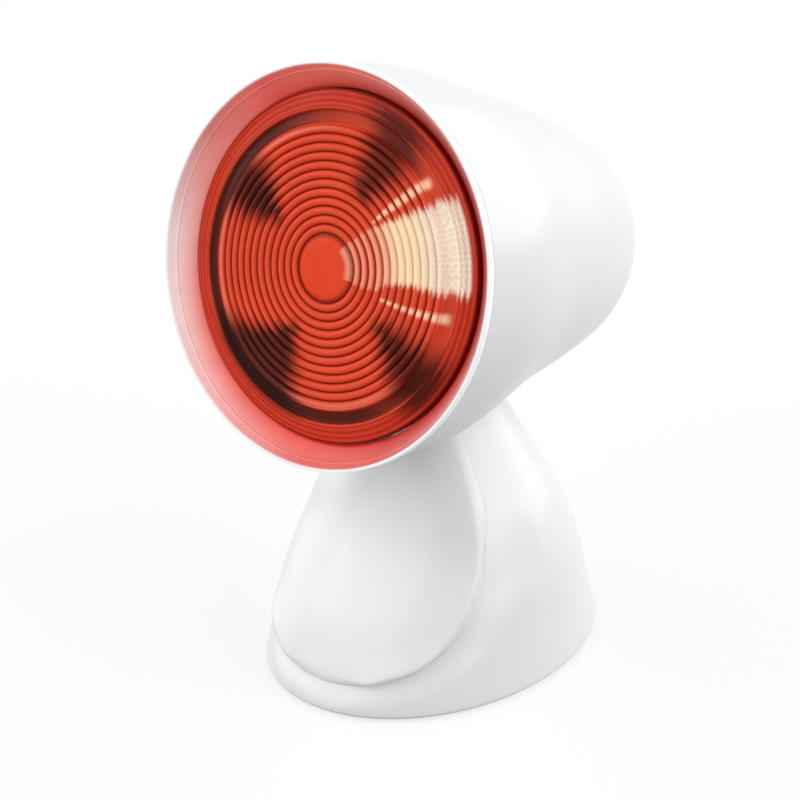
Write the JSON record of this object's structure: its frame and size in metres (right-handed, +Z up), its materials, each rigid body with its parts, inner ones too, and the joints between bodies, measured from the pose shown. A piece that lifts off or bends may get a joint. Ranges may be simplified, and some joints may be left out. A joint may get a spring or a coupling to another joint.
{
  "type": "infrared heat lamp",
  "caption": "Table-top infrared heat lamp: a bell-shaped head with a red reflector bulb tilts on a knuckle above a bell-shaped base with a rocker switch at the back.",
  "frame": {"origin": "middle of the whole lamp's footprint box, on the surface that the feet stand on", "axes": "+Z up, the lamp faces -Y, the tilt axle runs along X"},
  "size_m": [0.1392, 0.1794, 0.2371],
  "materials": {
    "white_plastic": "smooth gloss moulding, cool white",
    "shade_plastic": "satin white moulding, takes the red of the bulb",
    "red_glass": "pressed ruby glass with concentric ribs",
    "mirror_glass": "silvered pressed glass",
    "clear_glass": "clear glass stem",
    "steel": "zinc-plated steel",
    "aluminium": "plain spun aluminium",
    "brass": "plain brass",
    "ceramic": "glazed ceramic",
    "rubber": "soft matt rubber",
    "black_plastic": "fine satin moulding",
    "grey_plastic": "fine satin moulding",
    "cream_plastic": "satin moulding",
    "lead_brown": "heat-resistant sleeve",
    "lead_blue": "heat-resistant sleeve"
  },
  "bodies": {
    "base": {"hinge_knuckle": "white_plastic", "detent_ball": "steel", "detent_spring": "steel", "tilt_axle": "steel", "thrust_washer_left": "brass", "thrust_washer_right": "brass", "spring_washer": "steel", "axle_nut": "steel", "hood_shell": "white_plastic", "front_panel": "white_plastic", "base_plate": "grey_plastic", "ballast_plate": "steel", "foot_front_left": "rubber", "foot_front_right": "rubber", "foot_rear_left": "rubber", "foot_rear_right": "rubber", "base_screw_front_left": "steel", "base_screw_front_right": "steel", "base_screw_rear_left": "steel", "base_screw_rear_right": "steel", "knuckle_screw_left": "steel", "knuckle_screw_right": "steel", "switch_frame": "black_plastic", "switch_blade_left": "brass", "switch_blade_right": "brass", "cord_gland": "black_plastic", "terminal_block": "cream_plastic", "base_lead_live": "lead_brown", "base_lead_neutral": "lead_blue", "switch_lead": "lead_brown"},
    "head": {"head_shell": "white_plastic", "inner_shade": "shade_plastic", "heat_shield": "aluminium", "bulb_lens": "red_glass", "bulb_reflector": "mirror_glass", "bulb_filament": "steel", "filament_stem": "clear_glass", "bulb_ferrule": "aluminium", "screw_cap": "brass", "cap_insulator": "black_plastic", "cap_contact": "brass", "lampholder": "ceramic", "holder_liner": "brass", "holder_spring": "brass", "yoke": "steel", "holder_screw_left": "steel", "holder_screw_right": "steel", "shell_screw_left": "steel", "shell_screw_right": "steel", "lamp_lead_live": "lead_brown", "lamp_lead_neutral": "lead_blue"},
    "rocker": {"switch_rocker": "black_plastic"}
  },
  "joints": [
    {"name": "head_tilt", "type": "hinge", "parent": "base", "child": "head", "pos_m": [0, 0.00159, 0.111], "axis": [-1, 0, 0], "range_deg": [-12, 36]},
    {"name": "power_switch", "type": "hinge", "parent": "base", "child": "rocker", "pos_m": [0, 0.05591, 0.02949], "axis": [0, 0.3027, -0.9531], "range_deg": [0, 14]}
  ]
}
